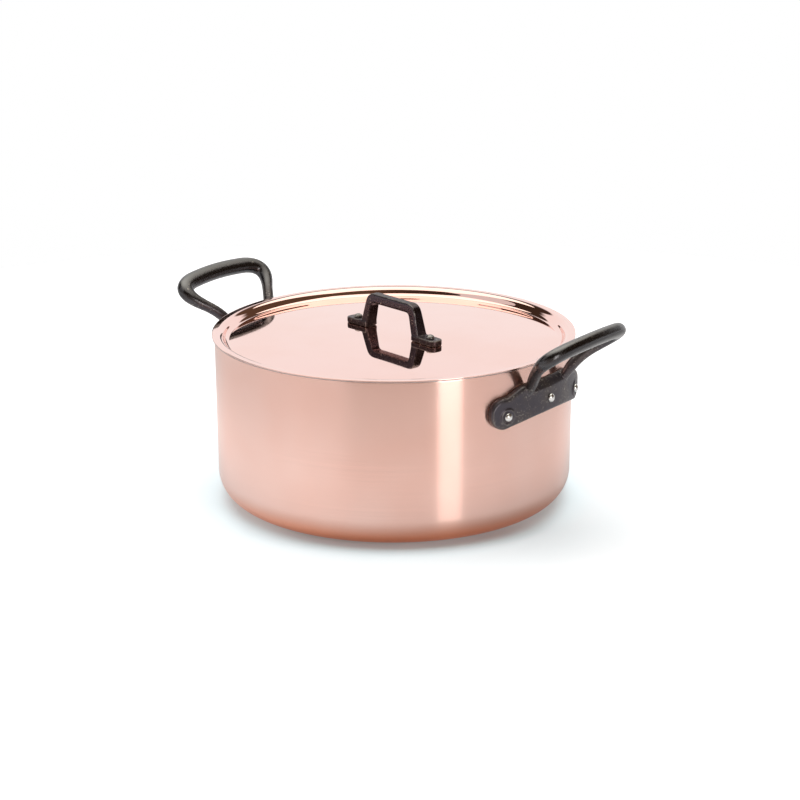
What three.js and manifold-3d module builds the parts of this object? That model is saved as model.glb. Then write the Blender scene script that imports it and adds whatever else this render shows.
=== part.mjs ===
// Copper cooking pot with a lid: a clad copper body, two riveted cast-iron side handles,
// and a lift-off copper lid with a riveted cast-iron bow handle.
// Millimetres, +Z up. The origin is the middle of the base, on the surface that the pot stands on.
// The side handles lie along X.

import * as THREE from 'three';
import { mergeVertices } from 'three/addons/utils/BufferGeometryUtils.js';
import Module from 'manifold-3d';

// Pot body
const POT_INNER_DIAMETER = 240;
const POT_HEIGHT = 114;
const POT_COPPER = 1.6;
const POT_LINING = 0.3;
const POT_BASE_CORNER = 20;
const POT_DRAFT_DEGREES = 0.35;

// Lid
const LID_COPPER = 0.9;
const LID_LINING = 0.2;
const LID_OVERHANG = 1.8;
const LID_PANEL_INSET = 8;
const LID_RECESS = 5.6;
const LID_DOME_RISE = 3.4;
const LID_STEP_DEGREES = 65;
const LID_STEP_ROUND = 4.7;
const LID_PANEL_ROUND = 3.5;
const LID_TURN_DEGREES = -12.5;

// Side handle: the plate that is riveted to the wall, measured along the wall from its middle
const PLATE_THICKNESS = 5;
const PLATE_LOBE_RADIUS = 10.5;
const PLATE_LOBE_SPREAD = 41;
const PLATE_LOBE_DEPTH = 26.8;
const PLATE_ARCH = 4.2;
const PLATE_SHOULDER = 5.3;
const PLATE_SHOULDER_SPREAD = 24;
const PLATE_LOWER_ROUND = 1.5;
const PLATE_UPPER_ROUND = 3;
const PLATE_MIDDLE_SLOPE = 6;
const PLATE_MIDDLE_SLOPE_SPREAD = 18;
const PLATE_END_ROUND = 1.5;

// Side handle: the loop that the hand holds
const LOOP_TILT_DEGREES = 39.5;
const LOOP_LEG_SPREAD = 21;
const LOOP_ROOT_SINK = 7;
const LOOP_BEND_OUT = 8.8;
const LOOP_BEND_DEPTH = 2.4;
const LOOP_BEND_ROUND = 9;
const LOOP_LENGTH = 35;
const LOOP_CORNER_SPREAD = 49.8;
const LOOP_CORNER_CUT = 21.6;
const LOOP_END_BOW = 5.7;
const LOOP_LEG_STRAIGHT = 12;
const LOOP_ROOT_TAPER = 12;
const LOOP_GRIP_TAPER = 32;
const LOOP_LEG_SIZE = 7.4;
const LOOP_GRIP_WIDTH = 11.2;
const LOOP_GRIP_THICKNESS = 9.2;
const LOOP_SQUARENESS = 3;

// Lid handle: a bow of flat bar on two feet
const BOW_HEIGHT = 24.3;
const BOW_TOP_DEPTH = 6.5;
const BOW_FOOT_DEPTH = 9.6;
const BOW_BAR_THICKNESS = 6.4;
const BOW_INNER_FOOT_HALF = 23.4;
const BOW_INNER_TOP_HALF = 18.6;
const BOW_CORNER_ROUND = 6;
const BOW_BEVEL = 1.2;
const FOOT_LENGTH = 21.9;
const FOOT_WIDTH = 10.5;
const FOOT_THICKNESS = 4;
const FOOT_END_ROUND = 4;

// Rivets
const RIVET_SHANK_DIAMETER = 4.4;
const RIVET_HEAD_DIAMETER = 6;
const RIVET_HEAD_HEIGHT = 2.2;
const RIVET_INNER_HEAD_DIAMETER = 9;
const RIVET_INNER_HEAD_HEIGHT = 1.8;
const SIDE_RIVET_INSET = 1.6;
const SIDE_RIVET_OUTER_DROP = 2;
const SIDE_RIVET_MIDDLE_RISE = 2.4;
const LID_RIVET_FROM_FOOT_END = 8.2;

// Clearances
const BOND_GAP = 0.1;
const SEAT_GAP = 0.3;
const FOOT_GAP = 0.15;
const RIVET_HOLE_GAP = 0.3;

// Facet counts
const ROUND_STEPS = 60;
const RIVET_STEPS = 12;
const ARC_STEPS = 5;
const ROUNDING_STEPS = 3;
const DOME_STEPS = 4;
const DOME_HEAD_STEPS = 3;
const PLATE_STEPS = 16;
const LOOP_STEPS = 40;
const LOOP_SIDES = 12;
const MERGE_DISTANCE = 1e-4;
const TANGENT_SHARE = 1e-3;

const wasm = await Module();
wasm.setup();

const degrees = THREE.MathUtils.degToRad;
const smooth = (x, low, high) => THREE.MathUtils.smoothstep(x, low, high);
const mix = THREE.MathUtils.lerp;

// Materials

const copperFinish = (roughness) =>
  new THREE.MeshStandardMaterial({ color: 0xe8b9a4, roughness, metalness: 1 });
const wallCopper = copperFinish(0.32);
const lidCopper = copperFinish(0.08);
const steelLining = new THREE.MeshStandardMaterial({ color: 0xb9bbbd, roughness: 0.35, metalness: 1 });
const castIron = new THREE.MeshStandardMaterial({ color: 0x34302f, roughness: 0.5, metalness: 0.6 });
const rivetSteel = new THREE.MeshStandardMaterial({ color: 0xcfd0ce, roughness: 0.22, metalness: 1 });

// Solids: closed meshes to and from the boolean library

function toSolid(geometry) {
  const bare = new THREE.BufferGeometry();
  bare.setAttribute('position', geometry.getAttribute('position').clone());
  if (geometry.index) {
    bare.setIndex(geometry.index.clone());
  }
  const merged = mergeVertices(bare, MERGE_DISTANCE);
  const corners = [];
  const index = merged.index.array;
  for (let i = 0; i < index.length; i += 3) {
    const [a, b, c] = [index[i], index[i + 1], index[i + 2]];
    if (a !== b && b !== c && c !== a) {
      corners.push(a, b, c);
    }
  }
  const vertProperties = new Float32Array(merged.getAttribute('position').array);
  const triVerts = new Uint32Array(corners);
  const solid = new wasm.Manifold(new wasm.Mesh({ numProp: 3, vertProperties, triVerts }));
  if (solid.volume() > 0) {
    return solid;
  }
  for (let i = 0; i < triVerts.length; i += 3) {
    [triVerts[i], triVerts[i + 1]] = [triVerts[i + 1], triVerts[i]];
  }
  return new wasm.Manifold(new wasm.Mesh({ numProp: 3, vertProperties, triVerts }));
}

function toGeometry(solid) {
  const mesh = solid.getMesh();
  const geometry = new THREE.BufferGeometry();
  geometry.setAttribute('position', new THREE.BufferAttribute(mesh.vertProperties.slice(), 3));
  geometry.setIndex(new THREE.BufferAttribute(mesh.triVerts.slice(), 1));
  geometry.computeVertexNormals();
  return geometry;
}

function piece(name, solid, material) {
  const mesh = new THREE.Mesh(toGeometry(solid), material);
  mesh.name = name;
  return mesh;
}

// A profile of [radius, height] points turned about Z.
function turned(profile, steps) {
  const points = profile.map(([radius, height]) => new THREE.Vector2(radius, height));
  return new THREE.LatheGeometry(points, steps).rotateX(Math.PI / 2);
}

// Rings with equally many points joined in order, with a flat cap at both ends.
function lofted(rings) {
  const sides = rings[0].length;
  const positions = rings.flat().flatMap((point) => point.toArray());
  const index = [];
  for (let i = 0; i + 1 < rings.length; i += 1) {
    for (let j = 0; j < sides; j += 1) {
      const next = (j + 1) % sides;
      const [a, b] = [i * sides + j, i * sides + next];
      index.push(a, b, a + sides, b, b + sides, a + sides);
    }
  }
  const last = (rings.length - 1) * sides;
  for (let j = 1; j + 1 < sides; j += 1) {
    index.push(0, j + 1, j, last, last + j, last + j + 1);
  }
  const geometry = new THREE.BufferGeometry();
  geometry.setAttribute('position', new THREE.Float32BufferAttribute(positions, 3));
  geometry.setIndex(index);
  return geometry;
}

// Points on an arc from one angle to another, in degrees from the radius direction.
function arc(centre, radius, from, to, steps) {
  const points = [];
  for (let i = 0; i <= steps; i += 1) {
    const angle = degrees(mix(from, to, i / steps));
    points.push([centre[0] + radius * Math.cos(angle), centre[1] + radius * Math.sin(angle)]);
  }
  return points;
}

// Pot body: a drawn sheet with a round base corner and a wall that opens slightly to the rim.
// Every layer of the sheet is an inset of the outer surface.

const potInnerRadius = POT_INNER_DIAMETER / 2;
const potSheet = POT_COPPER + BOND_GAP + POT_LINING;
const rimRadius = potInnerRadius + potSheet;
const draft = degrees(POT_DRAFT_DEGREES);
const wallRise = (height) => (height - POT_BASE_CORNER) * Math.sin(draft);
const cornerCentre = rimRadius - (POT_BASE_CORNER + wallRise(POT_HEIGHT)) / Math.cos(draft);

function wallRadius(height, inset = 0) {
  return cornerCentre + (POT_BASE_CORNER - inset + wallRise(height)) / Math.cos(draft);
}

function potSurface(inset) {
  const centre = [cornerCentre, POT_BASE_CORNER];
  const corner = arc(centre, POT_BASE_CORNER - inset, -90, -POT_DRAFT_DEGREES, ARC_STEPS);
  return [[0, inset], ...corner, [wallRadius(POT_HEIGHT, inset), POT_HEIGHT]];
}

function potLayer(outerInset, innerInset) {
  return toSolid(turned([...potSurface(outerInset), ...potSurface(innerInset).reverse()], ROUND_STEPS));
}

// Lid: a pressed sheet with a flat brim on the rim, a step down inside it and a slightly domed panel.
// Every layer of the sheet lies a depth below the top surface.

const lidSheet = LID_COPPER + BOND_GAP + LID_LINING;
const lidRadius = rimRadius + LID_OVERHANG;
const brimTop = POT_HEIGHT + SEAT_GAP + lidSheet;
const panelRadius = potInnerRadius - LID_PANEL_INSET;
const panelEdge = brimTop - LID_RECESS;
const domeRadius = (panelRadius ** 2 + LID_DOME_RISE ** 2) / (2 * LID_DOME_RISE);
const domeCentre = panelEdge + LID_DOME_RISE - domeRadius;
const domeEdgeDegrees = 90 - THREE.MathUtils.radToDeg(Math.asin(panelRadius / domeRadius));

const panelTop = (radius) => domeCentre + Math.sqrt(domeRadius ** 2 - radius ** 2);

function lidSurface(depth) {
  const dome = arc([0, domeCentre], domeRadius - depth, 90, domeEdgeDegrees, DOME_STEPS);
  dome[0][0] = 0;
  const edgeAngle = degrees(domeEdgeDegrees);
  const hollow = [
    panelRadius + LID_PANEL_ROUND * Math.cos(edgeAngle),
    panelEdge + LID_PANEL_ROUND * Math.sin(edgeAngle),
  ];
  const foot = arc(
    hollow,
    LID_PANEL_ROUND + depth,
    domeEdgeDegrees - 180,
    LID_STEP_DEGREES - 90,
    ROUNDING_STEPS,
  );
  const slope = degrees(LID_STEP_DEGREES);
  const stepTop = brimTop - LID_STEP_ROUND * (1 - Math.cos(slope));
  const stepFoot = [
    hollow[0] + LID_PANEL_ROUND * Math.sin(slope),
    hollow[1] - LID_PANEL_ROUND * Math.cos(slope),
  ];
  const stepRun = (stepTop - stepFoot[1]) / Math.tan(slope);
  const brimStart = stepFoot[0] + stepRun + LID_STEP_ROUND * Math.sin(slope);
  const shoulder = arc(
    [brimStart, brimTop - LID_STEP_ROUND],
    LID_STEP_ROUND - depth,
    90 + LID_STEP_DEGREES,
    90,
    ROUNDING_STEPS,
  );
  return [...dome, ...foot.slice(1), ...shoulder, [lidRadius, brimTop - depth]];
}

function lidLayer(topDepth, bottomDepth) {
  return toSolid(turned([...lidSurface(bottomDepth), ...lidSurface(topDepth).reverse()], ROUND_STEPS));
}

// Rivets: a shank with a wide head inside and a domed head outside.
// The rivet stands on Z with the seat of its inner head at zero, and grips what lies between its heads.

function domedHead(diameter, height, seat, direction) {
  const radius = diameter / 2;
  const points = [];
  for (let i = 0; i <= DOME_HEAD_STEPS; i += 1) {
    const angle = (Math.PI / 2) * (i / DOME_HEAD_STEPS);
    points.push([radius * Math.cos(angle), seat + direction * height * Math.sin(angle)]);
  }
  points[DOME_HEAD_STEPS][0] = 0;
  return points;
}

function rivetSolid(grip) {
  const shank = RIVET_SHANK_DIAMETER / 2;
  const inner = domedHead(RIVET_INNER_HEAD_DIAMETER, RIVET_INNER_HEAD_HEIGHT, 0, -1).reverse();
  const outer = domedHead(RIVET_HEAD_DIAMETER, RIVET_HEAD_HEIGHT, grip, 1);
  return toSolid(turned([...inner, [shank, 0], [shank, grip], ...outer], RIVET_STEPS));
}

function rivetHole(length) {
  const radius = RIVET_SHANK_DIAMETER / 2 + RIVET_HOLE_GAP;
  return new THREE.CylinderGeometry(radius, radius, length, RIVET_STEPS).rotateX(Math.PI / 2);
}

// Where the side rivets sit in the plate: an angle round the wall and a height.
const lobeHeight = POT_HEIGHT - PLATE_LOBE_DEPTH;
const sideRivets = [-1, 0, 1].map((side) => {
  const rise = side === 0 ? SIDE_RIVET_MIDDLE_RISE : -SIDE_RIVET_OUTER_DROP;
  const spread = side * (PLATE_LOBE_SPREAD - SIDE_RIVET_INSET);
  return { angle: spread / rimRadius, height: lobeHeight + rise };
});

// Turns a shape that stands on Z so that it points outwards from the wall at a side rivet.
function outwards(rivet, radius, side = 0) {
  return new THREE.Matrix4()
    .makeRotationZ(rivet.angle + side)
    .multiply(new THREE.Matrix4().makeTranslation(radius, 0, rivet.height))
    .multiply(new THREE.Matrix4().makeRotationY(Math.PI / 2));
}

function sideHole(rivet, side = 0) {
  const stack = potSheet + SEAT_GAP + PLATE_THICKNESS;
  const hole = rivetHole(2 * stack + RIVET_HEAD_DIAMETER);
  return toSolid(hole.applyMatrix4(outwards(rivet, wallRadius(rivet.height), side)));
}

function withSideHoles(solid) {
  const sides = [0, Math.PI];
  const holes = sides.flatMap((side) => sideRivets.map((rivet) => sideHole(rivet, side)));
  return holes.reduce((cut, hole) => cut.subtract(hole), solid);
}

// Side handle plate: rings across the plate, one for each place along the wall.
// Two round lobes stand below the rim, joined by an arched bar that rises to the loop's legs.

const plateEnd = PLATE_LOBE_SPREAD + PLATE_LOBE_RADIUS;

function lobeHalf(place) {
  const beyond = Math.max(0, Math.abs(place) - PLATE_LOBE_SPREAD);
  return Math.sqrt(Math.max(0, PLATE_LOBE_RADIUS ** 2 - beyond ** 2));
}

function plateEdges(place) {
  const along = Math.min(1, Math.abs(place) / PLATE_LOBE_SPREAD);
  const half = lobeHalf(place);
  const arch = PLATE_ARCH * (1 - along ** 2);
  const shoulder = PLATE_SHOULDER * (1 - smooth(Math.abs(place), PLATE_SHOULDER_SPREAD, PLATE_LOBE_SPREAD));
  return { low: lobeHeight - half + arch, high: lobeHeight + half + shoulder };
}

// A quarter round from the face of the plate to one of its edges, as [out, height] points.
function edgeRound(front, edge, depth, height, turns) {
  return turns.map((turn) => {
    const angle = degrees(turn);
    return [front - depth * (1 - Math.cos(angle)), edge - height * (1 - Math.sin(angle))];
  });
}

function plateRing(place) {
  const { low, high } = plateEdges(place);
  const away = Math.abs(place);
  const half = (high - low) / 2;
  const middle = 1 - smooth(away, PLATE_MIDDLE_SLOPE_SPREAD, PLATE_SHOULDER_SPREAD);
  const lower = Math.min(PLATE_LOWER_ROUND, half / 2);
  const upper = Math.min(mix(PLATE_UPPER_ROUND, PLATE_MIDDLE_SLOPE, middle), half);
  const front = PLATE_THICKNESS - PLATE_END_ROUND * smooth(away, plateEnd - PLATE_END_ROUND, plateEnd);
  const section = [
    [0, low],
    ...edgeRound(front, low, lower, -lower, [90, 45, 0]),
    ...edgeRound(front, high, PLATE_UPPER_ROUND, upper, [0, 45, 90]),
    [0, high],
  ];
  const angle = place / rimRadius;
  return section.map(([out, height]) => {
    const radius = wallRadius(height) + SEAT_GAP + out;
    return new THREE.Vector3(radius * Math.cos(angle), radius * Math.sin(angle), height);
  });
}

function handlePlate() {
  const rings = [];
  for (let i = -PLATE_STEPS; i <= PLATE_STEPS; i += 1) {
    const share = Math.sin((Math.PI / 2) * (i / PLATE_STEPS));
    rings.push(plateRing(share * (plateEnd - SEAT_GAP)));
  }
  return toSolid(lofted(rings));
}

// Side handle loop: a round bar that leaves the plate, bends outwards and runs round a tilted loop.
// Its plan has the spread from the middle across, and the way from the root outwards along.

const loopTilt = degrees(LOOP_TILT_DEGREES);
const loopRootSize = PLATE_THICKNESS - 2 * SEAT_GAP;
const loopRoot = new THREE.Vector2(
  Math.sqrt((rimRadius + SEAT_GAP) ** 2 - LOOP_LEG_SPREAD ** 2) + PLATE_THICKNESS / 2,
  plateEdges(LOOP_LEG_SPREAD).high - LOOP_ROOT_SINK,
);
const loopBend = new THREE.Vector2(rimRadius + LOOP_BEND_OUT, POT_HEIGHT - LOOP_BEND_DEPTH);
const loopEnd = new THREE.Vector2(Math.cos(loopTilt), Math.sin(loopTilt))
  .multiplyScalar(LOOP_LENGTH)
  .add(loopBend);

const loopRise = (() => {
  const towards = (from, to, distance) => to.clone().sub(from).setLength(distance).add(from);
  const before = towards(loopBend, loopRoot, LOOP_BEND_ROUND);
  const after = towards(loopBend, loopEnd, LOOP_BEND_ROUND);
  const path = new THREE.CurvePath();
  path.add(new THREE.LineCurve(loopRoot, before));
  path.add(new THREE.QuadraticBezierCurve(before, loopBend, after));
  path.add(new THREE.LineCurve(after, loopEnd));
  return path;
})();

const loopPlan = (() => {
  const reach = loopRise.getLength();
  const root = new THREE.Vector2(LOOP_LEG_SPREAD, 0);
  const corner = new THREE.Vector2(LOOP_CORNER_SPREAD, reach - LOOP_END_BOW);
  const straight = new THREE.Vector2(LOOP_LEG_SPREAD, LOOP_LEG_STRAIGHT);
  const flare = corner.clone().sub(straight).normalize();
  const legEnd = corner.clone().addScaledVector(flare, -LOOP_CORNER_CUT);
  const legAim = legEnd.clone().addScaledVector(flare, -LOOP_LEG_STRAIGHT);
  const barStart = LOOP_CORNER_SPREAD - LOOP_CORNER_CUT;
  const bow = LOOP_END_BOW * (1 - (barStart / LOOP_CORNER_SPREAD) ** 2);
  const bar = new THREE.Vector2(barStart, reach - LOOP_END_BOW + bow);
  const barAim = new THREE.Vector2(0, reach + (reach - bar.y));
  const far = (point) => new THREE.Vector2(-point.x, point.y);
  const path = new THREE.CurvePath();
  path.add(new THREE.CubicBezierCurve(root, straight, legAim, legEnd));
  path.add(new THREE.QuadraticBezierCurve(legEnd, corner, bar));
  path.add(new THREE.QuadraticBezierCurve(bar, barAim, far(bar)));
  path.add(new THREE.QuadraticBezierCurve(far(bar), far(corner), far(legEnd)));
  path.add(new THREE.CubicBezierCurve(far(legEnd), far(legAim), far(straight), far(root)));
  return path;
})();

function loopPoint(share) {
  const { x: spread, y: way } = loopPlan.getPointAt(share);
  const place = loopRise.getPointAt(Math.min(1, way / loopRise.getLength()));
  return new THREE.Vector3(place.x, spread, place.y);
}

const squared = (part) => Math.sign(part) * Math.abs(part) ** (2 / LOOP_SQUARENESS);

function loopRing(share) {
  const ahead = loopPoint(Math.min(1, share + TANGENT_SHARE));
  const behind = loopPoint(Math.max(0, share - TANGENT_SHARE));
  const along = ahead.sub(behind).normalize();
  const reach = loopRise.getLength();
  const way = Math.min(reach, loopPlan.getPointAt(share).y);
  const rise = loopRise.getTangentAt(way / reach);
  const upright = new THREE.Vector3(-rise.y, 0, rise.x);
  const across = new THREE.Vector3().crossVectors(along, upright).normalize();
  const over = new THREE.Vector3().crossVectors(across, along);
  const grip = smooth(way, reach - LOOP_GRIP_TAPER, reach - LOOP_END_BOW);
  const leg = mix(loopRootSize, LOOP_LEG_SIZE, smooth(way, 0, LOOP_ROOT_TAPER));
  const width = mix(LOOP_LEG_SIZE, LOOP_GRIP_WIDTH, grip) / 2;
  const thickness = mix(leg, LOOP_GRIP_THICKNESS, grip) / 2;
  const centre = loopPoint(share);
  const ring = [];
  for (let j = 0; j < LOOP_SIDES; j += 1) {
    const angle = (2 * Math.PI * j) / LOOP_SIDES;
    const point = centre.clone().addScaledVector(across, width * squared(Math.cos(angle)));
    ring.push(point.addScaledVector(over, thickness * squared(Math.sin(angle))));
  }
  return ring;
}

function sideHandle() {
  const rings = [];
  for (let i = 0; i <= LOOP_STEPS; i += 1) {
    rings.push(loopRing(i / LOOP_STEPS));
  }
  const whole = handlePlate().add(toSolid(lofted(rings)));
  return sideRivets.reduce((cut, rivet) => cut.subtract(sideHole(rivet)), whole);
}

// Lid handle: a bow of flat bar whose legs lean inwards and widen to two feet that follow the panel.

const footStart = BOW_INNER_FOOT_HALF;
const footEnd = footStart + FOOT_LENGTH;
const lidRivetPlace = footEnd - LID_RIVET_FROM_FOOT_END;
const footSeat = (place) => panelTop(place) + FOOT_GAP;
const footSlope = Math.atan2(footSeat(footStart) - footSeat(footEnd), FOOT_LENGTH);
const bowBase = footSeat(footStart);

function bowOutline() {
  const top = bowBase + BOW_HEIGHT;
  const innerTop = top - BOW_BAR_THICKNESS;
  const lean = Math.atan2(BOW_INNER_FOOT_HALF - BOW_INNER_TOP_HALF, innerTop - bowBase);
  const legWidth = BOW_BAR_THICKNESS / Math.cos(lean);
  const outerAt = (height) => BOW_INNER_FOOT_HALF + legWidth - (height - bowBase) * Math.tan(lean);
  const corner = outerAt(top);
  const cornerStart = [outerAt(top - BOW_CORNER_ROUND), top - BOW_CORNER_ROUND];
  const innerRound = BOW_CORNER_ROUND - BOW_BAR_THICKNESS / 2;
  const innerAt = (height) => outerAt(height) - legWidth;
  const inner = innerAt(innerTop);
  const innerStart = [innerAt(innerTop - innerRound), innerTop - innerRound];
  const outline = new THREE.Shape();
  outline.moveTo(BOW_INNER_FOOT_HALF, bowBase);
  outline.lineTo(outerAt(bowBase), bowBase);
  outline.lineTo(...cornerStart);
  outline.quadraticCurveTo(corner, top, corner - BOW_CORNER_ROUND, top);
  outline.lineTo(BOW_CORNER_ROUND - corner, top);
  outline.quadraticCurveTo(-corner, top, -cornerStart[0], cornerStart[1]);
  outline.lineTo(-outerAt(bowBase), bowBase);
  outline.lineTo(-BOW_INNER_FOOT_HALF, bowBase);
  outline.lineTo(-innerStart[0], innerStart[1]);
  outline.quadraticCurveTo(-inner, innerTop, innerRound - inner, innerTop);
  outline.lineTo(inner - innerRound, innerTop);
  outline.quadraticCurveTo(inner, innerTop, ...innerStart);
  outline.closePath();
  return outline;
}

function footSolid(turn) {
  const half = FOOT_WIDTH / 2;
  const plan = new THREE.Shape();
  plan.moveTo(0, -half);
  plan.lineTo(FOOT_LENGTH - FOOT_END_ROUND, -half);
  plan.absarc(FOOT_LENGTH - FOOT_END_ROUND, FOOT_END_ROUND - half, FOOT_END_ROUND, -Math.PI / 2, 0);
  plan.absarc(FOOT_LENGTH - FOOT_END_ROUND, half - FOOT_END_ROUND, FOOT_END_ROUND, 0, Math.PI / 2);
  plan.lineTo(0, half);
  plan.closePath();
  const foot = new THREE.ExtrudeGeometry(plan, {
    depth: FOOT_THICKNESS,
    bevelEnabled: false,
    curveSegments: ROUNDING_STEPS,
  });
  return toSolid(foot.rotateY(footSlope).translate(footStart, 0, bowBase).rotateZ(turn));
}

function lidHandle() {
  const bow = new THREE.ExtrudeGeometry(bowOutline(), {
    depth: BOW_FOOT_DEPTH - 2 * BOW_BEVEL,
    bevelThickness: BOW_BEVEL,
    bevelSize: BOW_BEVEL,
    bevelOffset: -BOW_BEVEL,
    bevelSegments: 1,
    curveSegments: ROUNDING_STEPS,
  });
  bow.translate(0, 0, BOW_BEVEL - BOW_FOOT_DEPTH / 2).rotateX(Math.PI / 2);
  const places = bow.attributes.position;
  for (let i = 0; i < places.count; i += 1) {
    const share = (places.getZ(i) - bowBase) / BOW_HEIGHT;
    const narrowed = THREE.MathUtils.lerp(1, BOW_TOP_DEPTH / BOW_FOOT_DEPTH, share);
    places.setY(i, places.getY(i) * narrowed);
  }
  return withLidHoles(toSolid(bow).add(footSolid(0)).add(footSolid(Math.PI)));
}

function withLidHoles(solid) {
  const hole = rivetHole(2 * (lidSheet + FOOT_THICKNESS + RIVET_HEAD_DIAMETER));
  return [-1, 1].reduce((cut, side) => {
    const place = hole.clone().translate(side * lidRivetPlace, 0, panelTop(lidRivetPlace));
    return cut.subtract(toSolid(place));
  }, solid);
}

// Assembly: the pot body, a side handle with its rivets on either side, and the lid.

const pot = new THREE.Group();
const potLining = potLayer(POT_COPPER + BOND_GAP, potSheet);
pot.add(piece('pot_copper_shell', withSideHoles(potLayer(0, POT_COPPER)), wallCopper));
pot.add(piece('pot_steel_lining', withSideHoles(potLining), steelLining));

const sideRivetGrip = potSheet + SEAT_GAP + PLATE_THICKNESS + 2 * SEAT_GAP;
const handleSolid = sideHandle();
const sideRivetSolid = rivetSolid(sideRivetGrip);
for (const [side, turn] of [['right', 0], ['left', Math.PI]]) {
  const handle = new THREE.Group();
  handle.rotation.z = turn;
  handle.add(piece(`${side}_side_handle`, handleSolid, castIron));
  sideRivets.forEach((rivet, i) => {
    const mesh = piece(`${side}_handle_rivet_${i + 1}`, sideRivetSolid, rivetSteel);
    const seat = wallRadius(rivet.height, potSheet) - SEAT_GAP;
    mesh.applyMatrix4(outwards(rivet, seat));
    handle.add(mesh);
  });
  pot.add(handle);
}

const lid = new THREE.Group();
lid.rotation.z = degrees(LID_TURN_DEGREES);
const lidLining = lidLayer(LID_COPPER + BOND_GAP, lidSheet);
lid.add(piece('lid_copper_plate', withLidHoles(lidLayer(0, LID_COPPER)), lidCopper));
lid.add(piece('lid_steel_lining', withLidHoles(lidLining), steelLining));
lid.add(piece('lid_bow_handle', lidHandle(), castIron));
const lidRivetFoot = panelTop(lidRivetPlace) - lidSheet - SEAT_GAP;
const footDrop = (lidRivetPlace - footStart) * Math.tan(footSlope);
const lidRivetSeat = bowBase - footDrop + FOOT_THICKNESS + SEAT_GAP;
const lidRivetSolid = rivetSolid(lidRivetSeat - lidRivetFoot);
[-1, 1].forEach((side, i) => {
  const mesh = piece(`lid_handle_rivet_${i + 1}`, lidRivetSolid, rivetSteel);
  mesh.position.set(side * lidRivetPlace, 0, lidRivetFoot);
  lid.add(mesh);
});

const part = new THREE.Group();
part.add(pot, lid);

export default part;
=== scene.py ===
import math

import bmesh
import bpy
import numpy as np
from mathutils import Matrix, Vector


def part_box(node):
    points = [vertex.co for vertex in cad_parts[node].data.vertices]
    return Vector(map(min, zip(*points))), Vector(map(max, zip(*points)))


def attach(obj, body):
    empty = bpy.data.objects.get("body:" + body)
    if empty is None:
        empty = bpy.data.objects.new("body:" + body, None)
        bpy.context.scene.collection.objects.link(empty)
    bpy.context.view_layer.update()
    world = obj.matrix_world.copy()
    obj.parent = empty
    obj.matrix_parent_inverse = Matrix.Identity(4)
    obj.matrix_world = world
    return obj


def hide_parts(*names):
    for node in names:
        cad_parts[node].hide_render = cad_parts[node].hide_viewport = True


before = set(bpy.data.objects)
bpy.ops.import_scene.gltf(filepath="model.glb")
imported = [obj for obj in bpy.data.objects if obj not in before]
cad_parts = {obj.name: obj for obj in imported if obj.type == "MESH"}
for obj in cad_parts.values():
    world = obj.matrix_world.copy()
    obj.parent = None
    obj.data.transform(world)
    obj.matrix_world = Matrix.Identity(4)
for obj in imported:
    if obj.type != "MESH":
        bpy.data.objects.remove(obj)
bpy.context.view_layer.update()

# Pot body: one sheet of copper drawn into a low round pot, with a rounded base corner and a wall that
# opens slightly to the rim. It is polished while it turns, which leaves a satin of fine level lines.

pot_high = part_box("pot_copper_shell")[1]
rim_radius = pot_high.x
pot_height = pot_high.z
pot_copper = 0.0016
base_corner = 0.020
wall_draft = math.radians(0.35)
rim_edge = 0.0004
pot_sides = 288
corner_steps = 24
base_steps = 6
wall_steps = 8
rim_edge_steps = 4
flat_hold = 0.001
weld_gap = 1e-7
wall_rise = (pot_height - base_corner) * math.sin(wall_draft)
corner_centre = rim_radius - (base_corner + wall_rise) / math.cos(wall_draft)


class Shade:
    """A socket of a node tree. Sums on it add Math nodes, and node() adds any other node."""

    def __init__(self, tree, socket=None):
        self.tree = tree
        self.socket = socket

    def node(self, kind, values=None, output=0, **settings):
        made = self.tree.nodes.new(kind)
        for name, setting in settings.items():
            setattr(made, name, setting)
        for name, value in (values or {}).items():
            if isinstance(value, Shade):
                self.tree.links.new(value.socket, made.inputs[name])
            else:
                made.inputs[name].default_value = value
        return Shade(self.tree, made.outputs[output] if made.outputs else None)

    def sum(self, operation, first, second):
        return self.node("ShaderNodeMath", {0: first, 1: second}, operation=operation)

    def __add__(self, other):
        return self.sum("ADD", self, other)

    def __radd__(self, other):
        return self.sum("ADD", other, self)

    def __sub__(self, other):
        return self.sum("SUBTRACT", self, other)

    def __rsub__(self, other):
        return self.sum("SUBTRACT", other, self)

    def __mul__(self, other):
        return self.sum("MULTIPLY", self, other)

    def __rmul__(self, other):
        return self.sum("MULTIPLY", other, self)


def blend(share, none, full):
    """A colour between two others, by a share from 0 to 1."""
    values = {0: share, 6: none, 7: full}
    return share.node("ShaderNodeMix", values, output=2, data_type="RGBA")


def ramp(value, low, high, to_low=0.0, to_high=1.0):
    """A smooth passage of a value's range onto another range."""
    values = {"Value": value, 1: low, 2: high, 3: to_low, 4: to_high}
    return value.node("ShaderNodeMapRange", values, interpolation_type="SMOOTHSTEP")


def grain(spot, scale, detail, stretch=(1, 1, 1)):
    """Noise on a piece's own coordinates, from 0 to 1, finer along a stretched axis."""
    placed = spot.node("ShaderNodeMapping", {"Vector": spot, "Scale": stretch})
    return spot.node("ShaderNodeTexNoise", {"Vector": placed, "Scale": scale, "Detail": detail})


def new_finish(name):
    """An empty material, and the coordinates of the piece that it lies on."""
    material = bpy.data.materials.new(name)
    material.use_nodes = True
    material.node_tree.nodes.clear()
    spot = Shade(material.node_tree).node("ShaderNodeTexCoord", output="Object")
    return material, spot


def lay(spot, values):
    """Lays a surface with these socket values on the material that the coordinates belong to."""
    surface = spot.node("ShaderNodeBsdfPrincipled", values)
    spot.node("ShaderNodeOutputMaterial", {"Surface": surface})


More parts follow.
